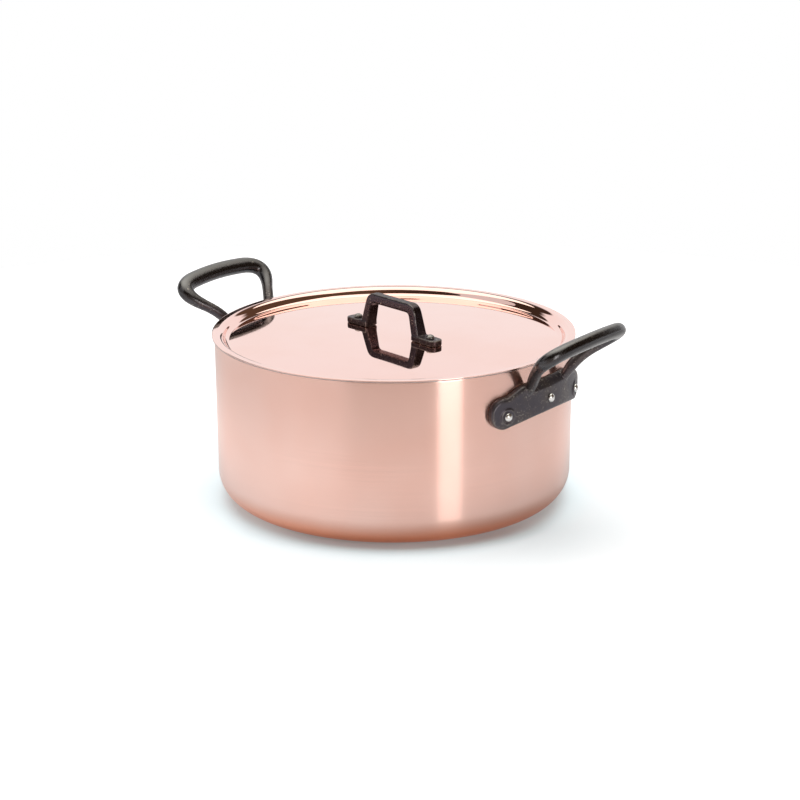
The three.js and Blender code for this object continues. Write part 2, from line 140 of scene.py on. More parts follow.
def arc(centre, radius, start, end, steps):
    """Points on an arc between two angles in degrees, from outwards at 0 to upwards at 90."""
    turns = np.radians(np.linspace(start, end, steps + 1))
    return [(centre[0] + radius * math.cos(t), centre[1] + radius * math.sin(t)) for t in turns]


def line(start, end, hold, steps):
    """Points on a straight stretch, with one close to either end to hold its flatness."""
    length = math.dist(start, end)
    shares = [hold / length, *np.linspace(0, 1, steps + 1)[1:-1], 1 - hold / length]
    return [tuple(np.array(start) * (1 - s) + np.array(end) * s) for s in shares]


def wall_radius(height, inset=0.0):
    """How far the wall's outer face, or a layer inside it, lies from the pot's axis."""
    out = base_corner - inset + (height - base_corner) * math.sin(wall_draft)
    return corner_centre + out / math.cos(wall_draft)


def pot_layer(outer, inner, edge):
    """The profile of a layer of the sheet between two insets, with rounded edges at the rim."""
    def face(inset, side):
        corner = arc(
            (corner_centre, base_corner),
            base_corner - inset,
            -90,
            -math.degrees(wall_draft),
            corner_steps,
        )
        top = (wall_radius(pot_height, inset) - side * edge, pot_height - edge)
        tip = (top[0] + side * edge, top[1])
        base = line((0, inset), corner[0], flat_hold, base_steps)
        wall = line(corner[-1], tip, flat_hold, wall_steps)
        return [(0, inset), *base, *corner, *wall], top

    outer_face, outer_top = face(outer, 1)
    inner_face, inner_top = face(inner, -1)
    outer_rim = arc(outer_top, edge, 0, 90, rim_edge_steps)
    inner_rim = arc(inner_top, edge, 90, 180, rim_edge_steps)
    return [*outer_face, *outer_rim, *inner_rim, *reversed(inner_face)]


def turning_tree():
    """Turns a profile's points, in order from axis to axis, once round Z into a closed skin."""
    tree = bpy.data.node_groups.new("turned_about_the_axis", "GeometryNodeTree")
    add = tree.interface.new_socket
    add("Profile", in_out="INPUT", socket_type="NodeSocketGeometry")
    sides = add("Sides", in_out="INPUT", socket_type="NodeSocketInt")
    finish = add("Finish", in_out="INPUT", socket_type="NodeSocketMaterial")
    add("Skin", in_out="OUTPUT", socket_type="NodeSocketGeometry")
    start = tree.nodes.new("NodeGroupInput")
    profile, count, material = (Shade(tree, start.outputs[i]) for i in range(3))
    size = profile.node("GeometryNodeAttributeDomainSize", {"Geometry": profile})
    grid = profile.node(
        "GeometryNodeMeshGrid",
        {"Size X": 1.0, "Size Y": 1.0, "Vertices X": size, "Vertices Y": count + 1},
    )
    spot = profile.node("GeometryNodeInputPosition")
    along = profile.node("ShaderNodeSeparateXYZ", {0: spot}, output="X")
    round_it = profile.node("ShaderNodeSeparateXYZ", {0: spot}, output="Y")
    number = profile.sum("ROUND", (along + 0.5) * (size - 1), 0.0)
    angle = (round_it + 0.5) * math.tau
    point = profile.node(
        "GeometryNodeSampleIndex",
        {"Geometry": profile, "Value": profile.node("GeometryNodeInputPosition"), "Index": number},
        data_type="FLOAT_VECTOR",
    )
    radius = profile.node("ShaderNodeSeparateXYZ", {0: point}, output="X")
    height = profile.node("ShaderNodeSeparateXYZ", {0: point}, output="Z")
    place = profile.node(
        "ShaderNodeCombineXYZ",
        {
            "X": radius * profile.sum("COSINE", angle, 0.0),
            "Y": radius * profile.sum("SINE", angle, 0.0),
            "Z": height,
        },
    )
    skin = profile.node("GeometryNodeSetPosition", {"Geometry": grid, "Position": place})
    skin = profile.node("GeometryNodeMergeByDistance", {"Geometry": skin, "Distance": weld_gap})
    skin = profile.node("GeometryNodeRealizeInstances", {"Geometry": skin})
    skin = profile.node("GeometryNodeSetMaterial", {"Geometry": skin, "Material": material})
    end = tree.nodes.new("NodeGroupOutput")
    tree.links.new(skin.socket, end.inputs["Skin"])
    return tree, sides.identifier, finish.identifier


turning, sides_input, turned_finish_input = turning_tree()


def new_object(name, points, edges=(), faces=()):
    """A mesh object at the origin, from points in the frame."""
    mesh = bpy.data.meshes.new(name)
    mesh.from_pydata([tuple(p) for p in points], edges, faces)
    made = bpy.data.objects.new(name, mesh)
    bpy.context.scene.collection.objects.link(made)
    return made


def plain(piece):
    """Turns what a piece's modifiers make into its own plain mesh, closed, with its faces outwards."""
    evaluated = piece.evaluated_get(bpy.context.evaluated_depsgraph_get())
    mesh = bpy.data.meshes.new_from_object(evaluated)
    piece.modifiers.clear()
    piece.data = mesh
    skin = bmesh.new()
    skin.from_mesh(mesh)
    bmesh.ops.remove_doubles(skin, verts=skin.verts, dist=weld_gap)
    bmesh.ops.recalc_face_normals(skin, faces=skin.faces)
    skin.to_mesh(mesh)
    skin.free()
    mesh.shade_smooth()
    return piece


def turned(name, profile, sides, finish):
    """A piece turned about the pot's axis from a profile of radius and height."""
    points = [(radius, 0, height) for radius, height in profile]
    piece = new_object(name, points, [(i, i + 1) for i in range(len(points) - 1)])
    turning_step = piece.modifiers.new("turning", "NODES")
    turning_step.node_group = turning
    turning_step[sides_input] = sides
    turning_step[turned_finish_input] = finish
    return plain(piece)


satin_copper, spot = new_finish("satin_copper")
level_lines = grain(spot, 1.0, 3.0, (5, 5, 1500))
cloud = grain(spot, 16.0, 2.0)
height_on_wall = spot.node("ShaderNodeSeparateXYZ", {0: spot}, output="Z")
copper_pink = (0.945, 0.64, 0.56, 1)
copper_warm = (0.92, 0.59, 0.505, 1)
# Towards the bottom the wall is painted redder: a painted reflection of the copper-lit, shaded table by
# the pot's foot.
painted_reflection_red = (0.95, 0.37, 0.21, 1)
painted_reflection_top = 0.022
painted_reflection_full = 0.004
copper = blend(ramp(cloud, 0.35, 0.68), copper_pink, copper_warm)
lay(
    spot,
    {
        "Base Color": blend(ramp(height_on_wall, painted_reflection_top, painted_reflection_full), copper, painted_reflection_red),
        "Metallic": 1.0,
        "Roughness": 0.2 + 0.05 * level_lines,
        "Anisotropic": 1.0,
        "Anisotropic Rotation": 0.25,
        "Normal": spot.node(
            "ShaderNodeBump", {"Strength": 0.05, "Distance": 0.0001, "Height": level_lines}
        ),
    },
)
body_sheet = turned("pot_body", pot_layer(0, pot_copper, rim_edge), pot_sides, satin_copper)
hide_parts("pot_copper_shell")
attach(body_sheet, "pot")

# Pot lining: a thin sheet of stainless steel bonded to the inside of the copper, up to the rim.
# It is ground round and round, so its base shows rings and its wall level lines.

bond_gap = 0.0001
pot_lining = 0.0003
lining_edge = 0.0001

ground_steel, spot = new_finish("ground_steel")
across = spot.node("ShaderNodeSeparateXYZ", {0: spot}, output="X")
back = spot.node("ShaderNodeSeparateXYZ", {0: spot}, output="Y")
up = spot.node("ShaderNodeSeparateXYZ", {0: spot}, output="Z")
out = spot.sum("SQRT", across * across + back * back, 0.0)
on_axis = spot.node("ShaderNodeCombineXYZ", {"X": out, "Y": 0.0, "Z": up})
rings = grain(on_axis, 1.0, 4.0, (1700, 1, 1700))
steel_light = (0.66, 0.665, 0.67, 1)
steel_grey = (0.54, 0.545, 0.55, 1)
lay(
    spot,
    {
        "Base Color": blend(ramp(rings, 0.3, 0.7), steel_light, steel_grey),
        "Metallic": 1.0,
        "Roughness": 0.26 + 0.12 * rings,
        "Anisotropic": 0.6,
        "Anisotropic Rotation": 0.25,
        "Normal": spot.node(
            "ShaderNodeBump", {"Strength": 0.12, "Distance": 0.0001, "Height": rings}
        ),
    },
)
lining_outer = pot_copper + bond_gap
lining_inner = lining_outer + pot_lining
lining_sheet = turned(
    "pot_lining", pot_layer(lining_outer, lining_inner, lining_edge), pot_sides, ground_steel
)
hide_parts("pot_steel_lining")
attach(lining_sheet, "pot")

# Side handles: each is one iron casting, a plate with two round lobes that follows the wall and a loop
# that leans out over the rim. The skin keeps the sand's grain and is rubbed brighter on its edges.

seat_gap = 0.0003
plate_thickness = 0.005
lobe_radius = 0.0105
lobe_spread = 0.041
lobe_drop = 0.0268
lobe_height = pot_height - lobe_drop
plate_end = lobe_spread + lobe_radius
plate_arch = 0.0042
shoulder = 0.0053
shoulder_spread = 0.024
lower_round = 0.0015
upper_round = 0.003
middle_slope = 0.0055
middle_bevel = 0.0044
middle_slope_spread = 0.018
middle_bevel_power = 1.75
end_round = 0.0015
plate_sections = 121
lower_round_points = 6
upper_round_points = 10
boss_radius = 0.0058
boss_height = 0.0008
boss_sides = 40
loop_tilt = math.radians(39.5)
leg_spread = 0.021
root_sink = 0.007
bend_out = 0.0088
bend_drop = 0.0024
bend_round = 0.009
loop_length = 0.035
corner_spread = 0.0498
corner_cut = 0.0216
end_bow = 0.0057
leg_straight = 0.012
root_taper = 0.012
grip_taper = 0.028
leg_size = 0.0074
grip_width = 0.0119
grip_thickness = 0.0097
bar_squareness = 2.2
loop_sections = 241
loop_sides = 32
slope_step = 1e-4
casting_grid = 0.00044
casting_rounds = 8
rivet_inset = 0.0016
outer_rivet_drop = 0.002
middle_rivet_rise = 0.0024
rivet_turn = (lobe_spread - rivet_inset) / rim_radius
side_rivet_places = [
    (-rivet_turn, lobe_height - outer_rivet_drop),
    (0.0, lobe_height + middle_rivet_rise),
    (rivet_turn, lobe_height - outer_rivet_drop),
]


def ease(value, low, high):
    """A smooth step from 0 at one value to 1 at another."""
    share = np.clip((value - low) / (high - low), 0, 1)
    return share * share * (3 - 2 * share)


def mix(none, full, share):
    return none + (full - none) * share


def plate_edges(place):
    """The lower and upper edge of the plate at a place along the wall from its middle."""
    away = abs(place)
    half = math.sqrt(max(0.0, lobe_radius**2 - max(0.0, away - lobe_spread) ** 2))
    arch = plate_arch * (1 - min(1.0, away / lobe_spread) ** 2)
    rise = shoulder * (1 - ease(away, shoulder_spread, lobe_spread))
    return lobe_height - half + arch, lobe_height + half + rise


def plate_ring(place):
    """One section across the plate, from its foot on the wall over its face and back."""
    low, high = plate_edges(place)
    away = abs(place)
    half = (high - low) / 2
    middle = 1 - ease(away, middle_slope_spread, shoulder_spread)
    lower = min(lower_round, half / 2)
    upper = min(mix(upper_round, middle_slope, middle), half)
    front = plate_thickness - end_round * ease(away, plate_end - end_round, plate_end)
    bottom = [
        (front - lower * (1 - math.cos(t)), low + lower * (1 - math.sin(t)))
        for t in np.radians(np.linspace(90, 0, lower_round_points))
    ]
    inward = mix(upper_round, middle_bevel, middle)
    power = mix(1.0, middle_bevel_power, middle)
    top = [
        (front - inward * (1 - math.cos(t) ** power), high - upper * (1 - math.sin(t) ** power))
        for t in np.radians(np.linspace(0, 90, upper_round_points))
    ]
    turn = place / rim_radius
    ring = []
    for depth, height in [(0, low), *bottom, *top, (0, high)]:
        radius = wall_radius(height) + seat_gap + depth
        ring.append((radius * math.cos(turn), radius * math.sin(turn), height))
    return ring


def bezier(*ends, steps=40):
    """Points along a curve between two ends, drawn by the points between them."""
    rows = [np.array([end], float) for end in ends]
    share = np.linspace(0, 1, steps + 1)[:, None]
    while len(rows) > 1:
        rows = [mix(a, b, share) for a, b in zip(rows, rows[1:])]
    return rows[0]


def walk(*stretches):
    """A path of joined stretches, as its length and a way to find the point at a distance along it."""
    points = np.vstack(stretches)
    steps = np.linalg.norm(np.diff(points, axis=0), axis=1)
    way = np.concatenate([[0], np.cumsum(steps)])
    return way[-1], lambda at: np.stack([np.interp(at, way, axis) for axis in points.T], axis=-1)


def loop_rings():
    """Sections of the loop's bar, from one root in the plate round to the other."""
    leg_x = math.sqrt((rim_radius + seat_gap) ** 2 - leg_spread**2) + plate_thickness / 2
    root = np.array((leg_x, plate_edges(leg_spread)[1] - root_sink))
    knee = np.array((rim_radius + bend_out, pot_height - bend_drop))
    tip = knee + loop_length * np.array((math.cos(loop_tilt), math.sin(loop_tilt)))
    before = knee + bend_round * (root - knee) / np.linalg.norm(root - knee)
    after = knee + bend_round * (tip - knee) / np.linalg.norm(tip - knee)
    reach, rise = walk(bezier(root, before), bezier(before, knee, after), bezier(after, tip))
    corner = np.array((corner_spread, reach - end_bow))
    straight = np.array((leg_spread, leg_straight))
    flare = (corner - straight) / np.linalg.norm(corner - straight)
    leg_end = corner - corner_cut * flare
    leg_aim = leg_end - leg_straight * flare
    bar_start = corner_spread - corner_cut
    bow = end_bow * (1 - (bar_start / corner_spread) ** 2)
    bar = np.array((bar_start, reach - end_bow + bow))
    bar_aim = np.array((0, 2 * reach - bar[1]))
    far = np.array((-1, 1))
    length, plan = walk(
        bezier((leg_spread, 0), straight, leg_aim, leg_end),
        bezier(leg_end, corner, bar),
        bezier(bar, bar_aim, bar * far),
        bezier(bar * far, corner * far, leg_end * far),
        bezier(leg_end * far, leg_aim * far, straight * far, (-leg_spread, 0)),
    )
    spread, way = plan(np.linspace(0, length, loop_sections)).T
    way = np.minimum(way, reach)
    place = rise(way)
    centres = np.stack([place[:, 0], spread, place[:, 1]], axis=1)
    along = np.gradient(centres, axis=0)
    slope = rise(np.minimum(way + slope_step, reach)) - rise(np.maximum(way - slope_step, 0))
    upright = np.stack([-slope[:, 1], np.zeros(len(way)), slope[:, 0]], axis=1)
    side = np.cross(along, upright)
    side /= np.linalg.norm(side, axis=1)[:, None]
    over = np.cross(side, along)
    over /= np.linalg.norm(over, axis=1)[:, None]
    grip = ease(way, reach - grip_taper, reach - end_bow)
    leg = mix(plate_thickness - 2 * seat_gap, leg_size, ease(way, 0, root_taper))
    width = mix(leg_size, grip_width, grip) / 2
    thickness = mix(leg, grip_thickness, grip) / 2
    square = 2 / bar_squareness
    rings = []
    for angle in np.linspace(0, math.tau, loop_sides, endpoint=False):
        reach_side = math.copysign(abs(math.cos(angle)) ** square, math.cos(angle))
        reach_over = math.copysign(abs(math.sin(angle)) ** square, math.sin(angle))
        rings.append(
            centres
            + side * (width * reach_side)[:, None]
            + over * (thickness * reach_over)[:, None]
        )
    return np.stack(rings, axis=1)


def boss_rings(turn, height):
    """Sections of the low boss with a raised rim on a lobe, round a rivet's head."""
    face = wall_radius(height) + seat_gap + plate_thickness
    shares = [(1, -2), (1, 0), (0.97, 0.6), (0.88, 1), (0.78, 0.9), (0.7, 0.4)]
    rings = []
    for spread, rise in shares:
        size, depth = spread * boss_radius, rise * boss_height
        ring = []
        for angle in np.linspace(0, math.tau, boss_sides, endpoint=False):
            side = size * math.cos(angle)
            radius = face + depth
            ring.append(
                (
                    radius * math.cos(turn) - side * math.sin(turn),
                    radius * math.sin(turn) + side * math.cos(turn),
                    height + size * math.sin(angle),
                )
            )
        rings.append(ring)
    return rings


def lofts(name, *groups):
    """One object of closed skins, each through its own row of rings with a cap at both ends."""
    points, faces = [], []
    for rings in groups:
        start, sides = len(points), len(rings[0])
        points += [p for ring in rings for p in ring]
        for i in range(len(rings) - 1):
            for j in range(sides):
                a, b = start + i * sides + j, start + i * sides + (j + 1) % sides
                faces.append((a, b, b + sides, a + sides))
        last = start + (len(rings) - 1) * sides
        faces.append(tuple(range(start + sides - 1, start - 1, -1)))
        faces.append(tuple(range(last, last + sides)))
    made = new_object(name, points, [], faces)
    skin = bmesh.new()
    skin.from_mesh(made.data)
    bmesh.ops.recalc_face_normals(skin, faces=skin.faces)
    skin.to_mesh(made.data)
    skin.free()
    return made


def cast(piece, grid, rounds, finish):
    """Fuses a piece's skins into one casting with softened edges and fillets."""
    fuse = piece.modifiers.new("fuse", "REMESH")
    fuse.mode = "VOXEL"
    fuse.voxel_size = grid
    soften = piece.modifiers.new("soften", "SMOOTH")
    soften.factor = 0.5
    soften.iterations = rounds
    plain(piece)
    piece.data.materials.clear()
    piece.data.materials.append(finish)
    return piece


iron_rubbed = (0.42, 0.39, 0.35, 1)
hold_fade = 0.014


def iron_finish(name, dark, brown, polished, worn_and_sheen_colour, held_from):
    """Cast iron with the sand's grain, rubbed on its edges and polished by hands above a height, where
    faces that point up are lighter, partly from wear and partly as a painted sheen.
    """
    material, spot = new_finish(name)
    height = spot.node("ShaderNodeSeparateXYZ", {0: spot}, output="Z")
    held = ramp(height, held_from, held_from + hold_fade)
    upright = spot.node("ShaderNodeNewGeometry", output="Normal")
    upright = upright.node("ShaderNodeSeparateXYZ", {0: upright}, output="Z")
    # Above that height, faces that point up are lighter: partly wear, and partly a painted sheen that
    # stands for light from above.
    worn_and_sheen_top = held * ramp(upright, 0.66, 0.95)
    sand = grain(spot, 1300.0, 3.0)
    lumps = grain(spot, 260.0, 2.0)
    stain = grain(spot, 60.0, 3.0)
    edges = ramp(spot.node("ShaderNodeNewGeometry", output="Pointiness"), 0.508, 0.54)
    specks = ramp(grain(spot, 800.0, 2.0), 0.58, 0.68) * ramp(stain, 0.38, 0.55) * (1 - held)
    rubbed = 0.75 * edges * ramp(lumps, 0.3, 0.75) + 0.5 * specks
    iron = blend(held, blend(ramp(stain, 0.35, 0.7), dark, brown), polished)
    iron = blend(worn_and_sheen_top, iron, worn_and_sheen_colour)
    lay(
        spot,
        {
            "Base Color": blend(rubbed, iron, iron_rubbed),
            "Metallic": 0.8 + 0.2 * held,
            "Roughness": 0.3 - 0.1 * held + 0.16 * worn_and_sheen_top + 0.14 * ramp(sand, 0.3, 0.75),
            "Normal": spot.node(
                "ShaderNodeBump",
                {
                    "Strength": 0.5,
                    "Distance": 0.0003,
                    "Height": (1 - 0.6 * held) * (0.5 * sand + lumps),
                },
            ),
        },
    )
    return material


cast_iron = iron_finish(
    "cast_iron",
    dark=(0.078, 0.07, 0.084, 1),
    brown=(0.1, 0.086, 0.086, 1),
    polished=(0.08, 0.077, 0.08, 1),
    # The colour of faces that point up: partly wear, partly a painted sheen.
    worn_and_sheen_colour=(0.23, 0.228, 0.228, 1),
    held_from=pot_height,
)
places = np.sin(np.linspace(-math.pi / 2, math.pi / 2, plate_sections)) * (plate_end - seat_gap)
right_handle = lofts(
    "right_loop_handle",
    [plate_ring(place) for place in places],
    loop_rings(),
    boss_rings(*side_rivet_places[0]),
    boss_rings(*side_rivet_places[2]),
)
cast(right_handle, casting_grid, casting_rounds, cast_iron)
left_handle = bpy.data.objects.new("left_loop_handle", right_handle.data.copy())
left_handle.data.transform(Matrix.Rotation(math.pi, 4, "Z"))
bpy.context.scene.collection.objects.link(left_handle)
for handle, node in ((right_handle, "right_side_handle"), (left_handle, "left_side_handle")):
    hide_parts(node)
    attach(handle, "pot")

# Side rivets: stainless steel, driven through plate, copper and lining from the inside.
# Each has a wide low head inside the pot, and an outer end that is hammered to a dome.

shank_radius = 0.0022
head_radius = 0.003
head_height = 0.0022
inner_head_radius = 0.0045
inner_head_height = 0.0018
head_flat_from = 84
head_points = 13
rivet_sides = 40
side_stack = lining_inner + seat_gap + plate_thickness + 2 * seat_gap


def dome(radius, height, seat, way):
    """The profile of a rivet's head from its seat to its top, with a small flat on the top."""
    turns = np.radians(np.linspace(0, head_flat_from, head_points))
    rise = [(radius * math.cos(t), seat + way * height * math.sin(t)) for t in turns]
    return [*rise, (0, rise[-1][1])]


def rivet_profile(grip):
    """The profile of a rivet that stands on Z, with its inner head's seat at zero."""
    inner = dome(inner_head_radius, inner_head_height, 0, -1)[::-1]
    outer = dome(head_radius, head_height, grip, 1)
    return [*inner, (shank_radius, 0), (shank_radius, grip), *outer]


def riveting_tree():
    """Sets a rivet on each point, along the point's own direction."""
    tree = bpy.data.node_groups.new("rivets_in_their_holes", "GeometryNodeTree")
    add = tree.interface.new_socket
    add("Holes", in_out="INPUT", socket_type="NodeSocketGeometry")
    rivet = add("Rivet", in_out="INPUT", socket_type="NodeSocketObject")
    finish = add("Finish", in_out="INPUT", socket_type="NodeSocketMaterial")
    add("Rivets", in_out="OUTPUT", socket_type="NodeSocketGeometry")
    start = tree.nodes.new("NodeGroupInput")
    holes, model, material = (Shade(tree, start.outputs[i]) for i in range(3))
    shape = holes.node("GeometryNodeObjectInfo", {"Object": model}, output="Geometry")
    way = holes.node(
        "GeometryNodeInputNamedAttribute", {"Name": "way_out"}, data_type="FLOAT_VECTOR"
    )
    turn = holes.node("FunctionNodeAlignRotationToVector", {"Vector": way}, axis="Z")
    rivets = holes.node(
        "GeometryNodeInstanceOnPoints", {"Points": holes, "Instance": shape, "Rotation": turn}
    )
    rivets = holes.node("GeometryNodeRealizeInstances", {"Geometry": rivets})
    rivets = holes.node("GeometryNodeSetMaterial", {"Geometry": rivets, "Material": material})
    end = tree.nodes.new("NodeGroupOutput")
    tree.links.new(rivets.socket, end.inputs["Rivets"])
    return tree, rivet.identifier, finish.identifier


riveting, rivet_input, riveted_finish_input = riveting_tree()


def riveted(name, holes, ways, grip, finish):
    """All the rivets of one body, at their inner seats and along their ways out."""
    model = turned("rivet_model", rivet_profile(grip), rivet_sides, finish)
    piece = new_object(name, holes)
    directions = piece.data.attributes.new("way_out", "FLOAT_VECTOR", "POINT")
    directions.data.foreach_set("vector", np.array(ways, float).ravel())
    step = piece.modifiers.new("riveting", "NODES")
    step.node_group = riveting
    step[rivet_input] = model
    step[riveted_finish_input] = finish
    plain(piece)
    bpy.data.objects.remove(model)
    return piece


bright_steel, spot = new_finish("bright_steel")
dents = grain(spot, 500.0, 2.0)
marks = grain(spot, 2600.0, 3.0)
steel_bright = (0.82, 0.815, 0.8, 1)
steel_dull = (0.62, 0.615, 0.6, 1)
lay(
    spot,
    {
        "Base Color": blend(ramp(marks, 0.4, 0.8), steel_bright, steel_dull),
        "Metallic": 1.0,
        "Roughness": 0.16 + 0.18 * marks,
        "Normal": spot.node(
            "ShaderNodeBump", {"Strength": 0.25, "Distance": 0.0004, "Height": dents}
        ),
    },
)
side_holes, side_ways = [], []
for start_turn in (0, math.pi):
    for turn, height in side_rivet_places:
        way_out = Vector((math.cos(start_turn + turn), math.sin(start_turn + turn), 0))
        seat = wall_radius(height, lining_inner) - seat_gap
        side_holes.append(way_out * seat + Vector((0, 0, height)))
        side_ways.append(way_out)
side_rivets = riveted("side_handle_rivets", side_holes, side_ways, side_stack, bright_steel)
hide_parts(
    *[f"{side}_handle_rivet_{i}" for side in ("right", "left") for i in (1, 2, 3)],
)
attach(side_rivets, "pot")

# Lid: one sheet of copper pressed with a flat brim that lies on the rim, a step down inside the rim
# and a slightly domed panel. Its top is polished to a mirror.

lid_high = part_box("lid_copper_plate")[1]
lid_radius = min(lid_high.x, lid_high.y)
brim_top = lid_high.z
lid_copper = 0.0009
lid_lining = 0.0002
panel_inset = 0.008
lid_recess = 0.0056
panel_radius = rim_radius - lining_inner - panel_inset
panel_edge = brim_top - lid_recess
dome_rise = 0.0034
panel_round = 0.0035
step_slope = 65
step_round = 0.0047
lid_edge = 0.0003
lid_sides = 720
panel_steps = 16
top_bends = 24
under_bends = 8
lid_edge_steps = 5
brim_steps = 4
brim_hold = 0.0005
dome_radius = (panel_radius**2 + dome_rise**2) / (2 * dome_rise)
dome_centre = panel_edge + dome_rise - dome_radius
dome_end = 90 - math.degrees(math.asin(panel_radius / dome_radius))


def panel_top(radius):
    """The height of the lid's panel at a distance from its middle."""
    return dome_centre + math.sqrt(dome_radius**2 - radius**2)


def lid_face(depth, bends):
    """The profile of a face of the lid's sheet, a depth below the top, up to the brim's edge."""
    panel = arc((0, dome_centre), dome_radius - depth, 90, dome_end, panel_steps)
    rim = math.radians(dome_end)
    hollow = (
        panel_radius + panel_round * math.cos(rim),
        panel_edge + panel_round * math.sin(rim),
    )
    foot = arc(hollow, panel_round + depth, dome_end - 180, step_slope - 90, bends)
    slope = math.radians(step_slope)
    step_top = brim_top - step_round * (1 - math.cos(slope))
    step_foot = hollow[1] - panel_round * math.cos(slope)
    run = (step_top - step_foot) / math.tan(slope)
    brim_start = hollow[0] + (panel_round + step_round) * math.sin(slope) + run
    shoulder_bend = arc(
        (brim_start, brim_top - step_round), step_round - depth, 90 + step_slope, 90, bends
    )
    edge_start = (lid_radius - lid_edge, brim_top - depth)
    brim = line(shoulder_bend[-1], edge_start, brim_hold, brim_steps)
    return [(0, panel[0][1]), *panel[1:], *foot[1:], *shoulder_bend, *brim]


def lid_layer(top, bottom, edge, bends):
    """The profile of a layer of the lid's sheet between two depths, with a rounded outer edge."""
    upper = arc((lid_radius - edge, brim_top - top - edge), edge, 90, 0, lid_edge_steps)
    lower = arc((lid_radius - edge, brim_top - bottom + edge), edge, 0, -90, lid_edge_steps)
    return [*lid_face(top, bends), *upper, *lower, *reversed(lid_face(bottom, under_bends))]


mirror_copper, spot = new_finish("mirror_copper")
haze = grain(spot, 22.0, 3.0)
fine_marks = grain(spot, 1.0, 2.0, (900, 40, 40))
mirror_pink = (0.95, 0.665, 0.61, 1)
mirror_warm = (0.94, 0.64, 0.575, 1)
lay(
    spot,
    {
        "Base Color": blend(ramp(haze, 0.35, 0.7), mirror_pink, mirror_warm),
        "Metallic": 1.0,
        "Roughness": 0.025 + 0.025 * ramp(haze, 0.4, 0.8) + 0.01 * fine_marks,
    },
)
lid_profile = lid_layer(0, lid_copper, lid_edge, top_bends)
lid_sheet = turned("lid_plate", lid_profile, lid_sides, mirror_copper)
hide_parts("lid_copper_plate")
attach(lid_sheet, "lid")

# Lid lining: thin stainless steel bonded to the underside of the lid's copper.
# It is ground in rings as the inside of the pot is.

lid_lining_top = lid_copper + bond_gap
lid_stack = lid_lining_top + lid_lining
lid_lining_edge = 0.00009
lining_profile = lid_layer(lid_lining_top, lid_stack, lid_lining_edge, under_bends)
lid_lining_sheet = turned("lid_lining", lining_profile, pot_sides, ground_steel)
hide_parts("lid_steel_lining")
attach(lid_lining_sheet, "lid")

# Lid handle: an iron casting, a bow of flat bar whose legs lean in to the top and widen to two flat feet
# that lie along the panel. Its edges are bevelled, and it lies turned a little from the side handles.

lid_turn = math.radians(-12.5)
foot_gap = 0.00015
bow_height = 0.0243
bow_top_depth = 0.0065
bow_foot_depth = 0.0096
bow_thickness = 0.0064
bow_foot_half = 0.0234
bow_top_half = 0.0186
bow_corner = 0.006
bow_bevel = 0.0012
foot_length = 0.0219
foot_width = 0.0105
foot_thickness = 0.004
foot_round = 0.004
foot_bevel = 0.0008
foot_steps = 8
level_limit = 1e-9
bow_grid = 0.00035
bow_rounds = 2
lid_rivet_inset = 0.0082
bow_base = panel_top(bow_foot_half) + foot_gap
foot_end = bow_foot_half + foot_length
foot_drop = panel_top(bow_foot_half) - panel_top(foot_end)
lid_rivet_place = foot_end - lid_rivet_inset


def bow_outline():
    """The bow seen from the front: the right half from the foot up and over, then the left half."""
    top = bow_base + bow_height
    under = top - bow_thickness
    lean = (bow_foot_half - bow_top_half) / (under - bow_base)
    leg_width = bow_thickness * math.sqrt(1 + lean**2)

    def outer(height):
        return bow_foot_half + leg_width - (height - bow_base) * lean

    corner = bezier(
        (outer(top - bow_corner), top - bow_corner),
        (outer(top), top),
        (outer(top) - bow_corner, top),
        steps=10,
    )
    inner_round = bow_corner - bow_thickness / 2
    inner_corner = bezier(
        (outer(under) - leg_width - inner_round, under),
        (outer(under) - leg_width, under),
        (outer(under - inner_round) - leg_width, under - inner_round),
        steps=8,
    )
    half = [(outer(bow_base), bow_base), *map(tuple, corner)]
    inner_half = [*map(tuple, inner_corner), (bow_foot_half, bow_base)]
    return [
        *half,
        *[(-x, z) for x, z in reversed(half)],
        *[(-x, z) for x, z in reversed(inner_half)],
        *inner_half,
    ]


def foot_outline():
    """A foot seen from above, from its straight inner end to its round outer one."""
    half = foot_width / 2
    straight = foot_length - foot_round
    end = [
        *arc((straight, foot_round - half), foot_round, -90, 0, foot_steps),
        *arc((straight, half - foot_round), foot_round, 0, 90, foot_steps),
    ]
    return [(0, -half), *end, (0, half)]


def bevelled_slab(outline, depth, bevel):
    """A slab of an outline in X and Y, from zero up to its depth, with its edges bevelled."""
    slab = bmesh.new()
    face = slab.faces.new([slab.verts.new((x, y, 0)) for x, y in outline])
    grown = bmesh.ops.extrude_face_region(slab, geom=[face])
    raised = [g for g in grown["geom"] if isinstance(g, bmesh.types.BMVert)]
    bmesh.ops.translate(slab, verts=raised, vec=(0, 0, depth))
    bmesh.ops.recalc_face_normals(slab, faces=slab.faces)
    rims = [
        edge
        for edge in slab.edges
        if len(edge.link_faces) == 2
        and abs(edge.verts[0].co.z - edge.verts[1].co.z) < level_limit
    ]
    bmesh.ops.bevel(slab, geom=rims, offset=bevel, segments=3, profile=0.6, affect="EDGES")
    bmesh.ops.recalc_face_normals(slab, faces=slab.faces)
    return slab


